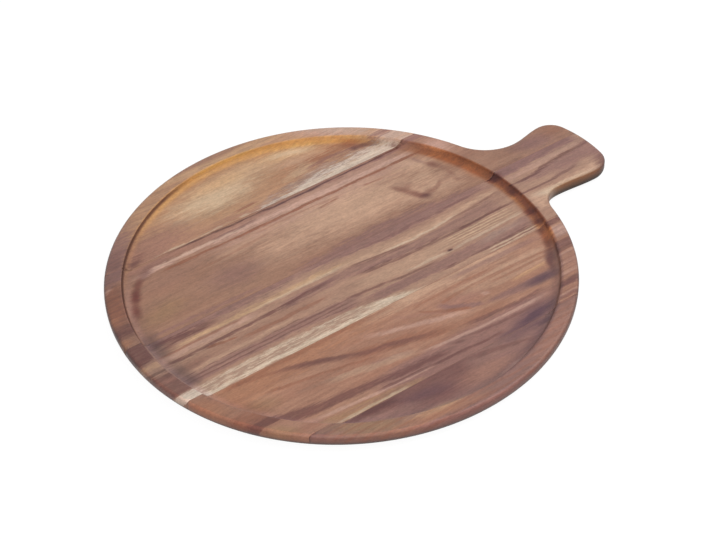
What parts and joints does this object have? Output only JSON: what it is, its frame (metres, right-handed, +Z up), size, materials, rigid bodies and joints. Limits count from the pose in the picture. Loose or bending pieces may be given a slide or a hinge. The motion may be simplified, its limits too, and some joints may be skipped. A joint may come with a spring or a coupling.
{
  "type": "pizza serving board",
  "caption": "Round edge-glued wooden serving board with a raised rim, a shallow coved well for a pizza and a flat paddle handle; lies flat on a table.",
  "frame": {"origin": "centre of the disc on the flat underside", "axes": "+X out along the handle, +Z up from the underside to the rim, +Y to the left looking out along the handle"},
  "size_m": [0.4284, 0.355, 0.015],
  "materials": {
    "left_cap_wood": "satin oiled hardwood, golden brown with a pale sapwood wedge",
    "left_wood": "satin oiled hardwood, plain tan brown",
    "middle_wood": "satin oiled hardwood, striped brown with a cream sapwood edge",
    "right_wood": "satin oiled hardwood, orange brown with flame figure",
    "right_cap_wood": "satin oiled hardwood, brown with a dark purple wedge",
    "glue": "cured wood glue, sanded flush"
  },
  "bodies": {
    "root": {"left_cap_stave": "left_cap_wood", "left_stave": "left_wood", "middle_stave": "middle_wood", "right_stave": "right_wood", "right_cap_stave": "right_cap_wood", "left_cap_glue_line": "glue", "left_glue_line": "glue", "right_glue_line": "glue", "right_cap_glue_line": "glue"}
  },
  "joints": []
}
